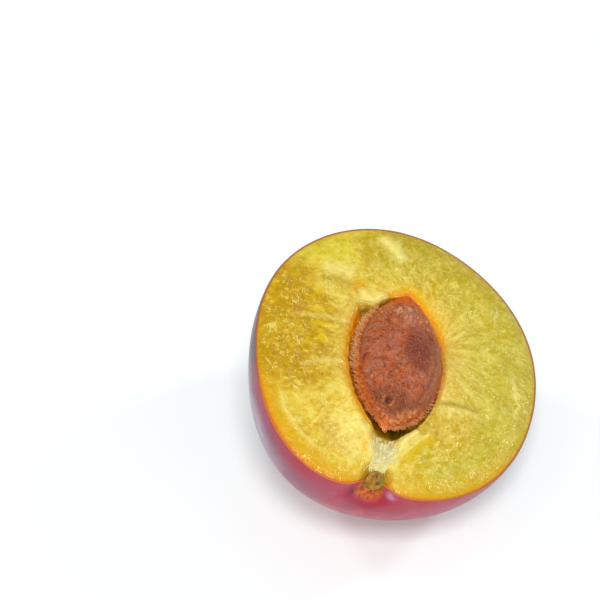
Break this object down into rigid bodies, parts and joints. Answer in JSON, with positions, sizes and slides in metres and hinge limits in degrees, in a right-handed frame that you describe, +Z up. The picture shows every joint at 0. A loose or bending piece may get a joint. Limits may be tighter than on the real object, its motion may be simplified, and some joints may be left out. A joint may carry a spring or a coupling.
{
  "type": "halved plum",
  "caption": "Half of a purple plum lying on its skin, cut face up, with the stone still in its hollow in the yellow flesh.",
  "frame": {"origin": "bottom centre of the box round the half as it lies, on the surface that it rests on", "axes": "+Z up, +Y from the stalk end towards the blossom end, +X to the side that the cut face leans down to"},
  "size_m": [0.0478, 0.0522, 0.0318],
  "materials": {
    "skin": "smooth waxy purple plum skin",
    "flesh": "wet cut yellow flesh",
    "stone": "moist red-brown stone"
  },
  "bodies": {
    "root": {"skin": "skin", "flesh": "flesh", "stone": "stone"}
  },
  "joints": []
}
